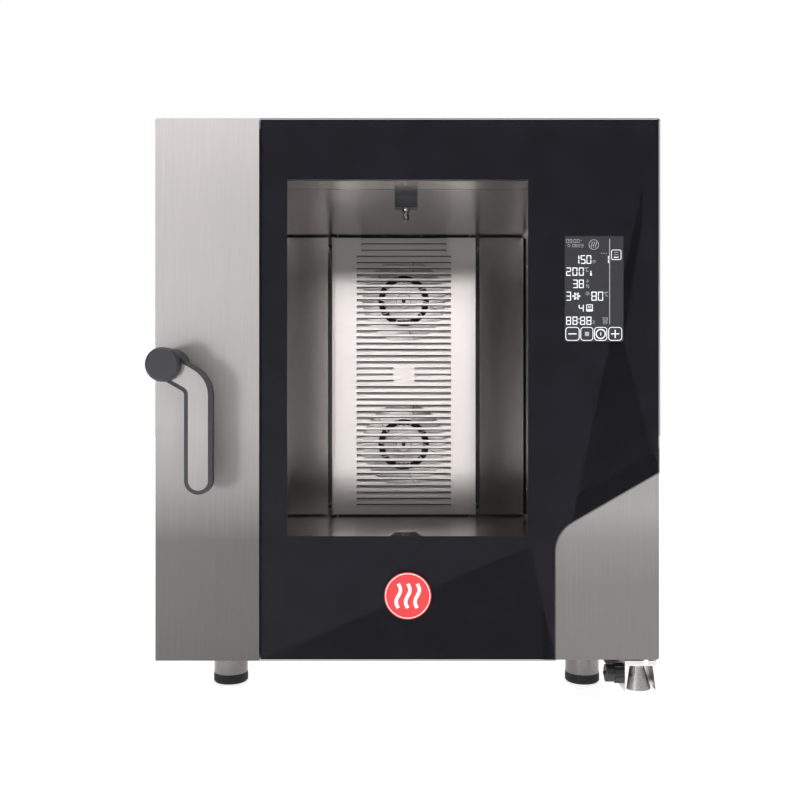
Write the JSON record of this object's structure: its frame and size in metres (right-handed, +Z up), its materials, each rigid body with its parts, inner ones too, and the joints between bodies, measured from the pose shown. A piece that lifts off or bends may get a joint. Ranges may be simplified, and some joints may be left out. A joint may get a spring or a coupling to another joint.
{
  "type": "combi steamer oven",
  "caption": "Counter-top combi steamer oven: steel cabinet on adjustable feet, full-width hinged glass door with turn handle and touch display, and a fan-driven steam cavity.",
  "frame": {"origin": "on the floor, at the middle of the part's box: between the four feet, 3.5 mm behind the middle of the whole depth", "axes": "+X to the right of a person facing the door, +Y to the rear, +Z up"},
  "size_m": [0.75, 0.926, 0.916],
  "materials": {
    "casing_steel": "fine brushed stainless sheet",
    "door_steel": "vertical brushed stainless sheet",
    "cavity_steel": "polished and hygienic stainless liner",
    "bright_steel": "turned and polished steel",
    "heater_steel": "heat-tinted steel tube",
    "bracket_steel": "fine brushed steel",
    "sleeve_steel": "fine brushed steel tube",
    "post_black": "dark quick-release posts",
    "door_glass": "clear toughened glass",
    "mask_black": "black ceramic print seen through the glass",
    "display_black": "dark touch display",
    "lamp_white": "frosted light strip",
    "handle_black": "satin black moulding",
    "inset_steel": "brushed inlay of the lever's face",
    "seal_rubber": "silicone seal",
    "wool": "mineral wool",
    "foot_black": "ribbed black foot",
    "knob_black": "moulded knob",
    "gland_black": "nylon gland",
    "pipe_grey": "heat-resistant waste pipe",
    "valve_brass": "machined brass",
    "bush_white": "plain bearing bush",
    "motor_cast": "cast motor housing",
    "actuator_plastic": "geared actuator case",
    "board_green": "circuit board with parts",
    "rotor_black": "moulded fan rotor"
  },
  "bodies": {
    "cabinet": {"base_plate": "casing_steel", "cable_gland": "gland_black", "cavity_rear_wall": "cavity_steel", "cavity_shell": "cavity_steel", "cooling_fan_housing": "casing_steel", "deflector_posts": "post_black", "deflector_sides": "cavity_steel", "door_gasket": "seal_rubber", "drain_pipe": "pipe_grey", "drain_strainer": "cavity_steel", "fan_motors": "motor_cast", "front_frame": "casing_steel", "heating_rings": "heater_steel", "hinge_pins": "bright_steel", "hinge_plates": "casing_steel", "inlet_baffle": "cavity_steel", "inlet_valve": "valve_brass", "insulation": "wool", "latch_keeper": "casing_steel", "leg_sleeves": "sleeve_steel", "outlet_bracket": "bracket_steel", "outlet_cone": "bracket_steel", "power_board": "board_green", "rack_studs": "cavity_steel", "rear_panel": "casing_steel", "rear_screws": "bright_steel", "side_panel_left": "casing_steel", "side_panel_right": "casing_steel", "top_panel": "casing_steel", "vent_actuator": "actuator_plastic", "vent_pipe": "cavity_steel", "wash_block": "cavity_steel", "water_nozzles": "valve_brass"},
    "door": {"door_glass": "door_glass", "door_mask": "mask_black", "door_strip": "door_steel", "corner_panel": "door_steel", "display_module": "display_black", "led_strip": "lamp_white", "door_chassis": "door_steel", "door_bushes": "bush_white"},
    "handle": {"handle_hub": "handle_black", "handle_lever": "handle_black", "handle_inset": "inset_steel", "latch_spindle": "bright_steel"},
    "inner_pane": {"inner_glass": "door_glass", "inner_glass_clamps": "door_steel"},
    "deflector": {"air_deflector": "cavity_steel"},
    "fan_lower": {"fan_wheel_lower": "cavity_steel", "fan_shaft_lower": "bright_steel"},
    "fan_upper": {"fan_wheel_upper": "cavity_steel", "fan_shaft_upper": "bright_steel"},
    "washer": {"wash_rotor": "bright_steel"},
    "flap": {"vent_flap": "cavity_steel"},
    "cooler": {"cooling_fan_rotor": "rotor_black"},
    "outlet_valve": {"outlet_knob": "knob_black"},
    "foot_fl": {"foot_front_left": "foot_black"},
    "foot_fr": {"foot_front_right": "foot_black"},
    "foot_rl": {"foot_rear_left": "foot_black"},
    "foot_rr": {"foot_rear_right": "foot_black"}
  },
  "joints": [
    {"name": "door_hinge", "type": "hinge", "parent": "cabinet", "child": "door", "pos_m": [0.358, -0.3735, 0.473], "axis": [0, 0, 1], "range_deg": [0, 120]},
    {"name": "handle_turn", "type": "hinge", "parent": "door", "child": "handle", "pos_m": [-0.347, -0.43, 0.508], "axis": [0, -1, 0], "range_deg": [0, 90]},
    {"name": "inner_pane_hinge", "type": "hinge", "parent": "door", "child": "inner_pane", "pos_m": [0.2205, -0.3225, 0.505], "axis": [0, 0, -1], "range_deg": [0, 24]},
    {"name": "deflector_hinge", "type": "hinge", "parent": "cabinet", "child": "deflector", "pos_m": [-0.1495, 0.217, 0.505], "axis": [0, 0, -1], "range_deg": [0, 90]},
    {"name": "fan_lower_spin", "type": "hinge", "parent": "cabinet", "child": "fan_lower", "pos_m": [0, 0.2545, 0.359], "axis": [0, 1, 0], "continuous": true},
    {"name": "fan_upper_spin", "type": "hinge", "parent": "cabinet", "child": "fan_upper", "pos_m": [0, 0.2545, 0.666], "axis": [0, 1, 0], "continuous": true},
    {"name": "wash_rotor_spin", "type": "hinge", "parent": "cabinet", "child": "washer", "pos_m": [0, -0.1805, 0.78], "axis": [0, 0, 1], "continuous": true},
    {"name": "vent_flap_turn", "type": "hinge", "parent": "cabinet", "child": "flap", "pos_m": [-0.12, 0.2605, 0.857], "axis": [1, 0, 0], "range_deg": [0, 90]},
    {"name": "cooling_fan_spin", "type": "hinge", "parent": "cabinet", "child": "cooler", "pos_m": [0.335, 0.376, 0.2], "axis": [0, 1, 0], "continuous": true},
    {"name": "outlet_valve_turn", "type": "hinge", "parent": "cabinet", "child": "outlet_valve", "pos_m": [0.31, -0.3635, 0.044], "axis": [1, 0, 0], "range_deg": [0, 90]},
    {"name": "foot_fl_slide", "type": "slide", "parent": "cabinet", "child": "foot_fl", "axis": [0, 0, -1], "range_m": [0, 0.02]},
    {"name": "foot_fr_slide", "type": "slide", "parent": "cabinet", "child": "foot_fr", "axis": [0, 0, -1], "range_m": [0, 0.02]},
    {"name": "foot_rl_slide", "type": "slide", "parent": "cabinet", "child": "foot_rl", "axis": [0, 0, -1], "range_m": [0, 0.02]},
    {"name": "foot_rr_slide", "type": "slide", "parent": "cabinet", "child": "foot_rr", "axis": [0, 0, -1], "range_m": [0, 0.02]}
  ]
}
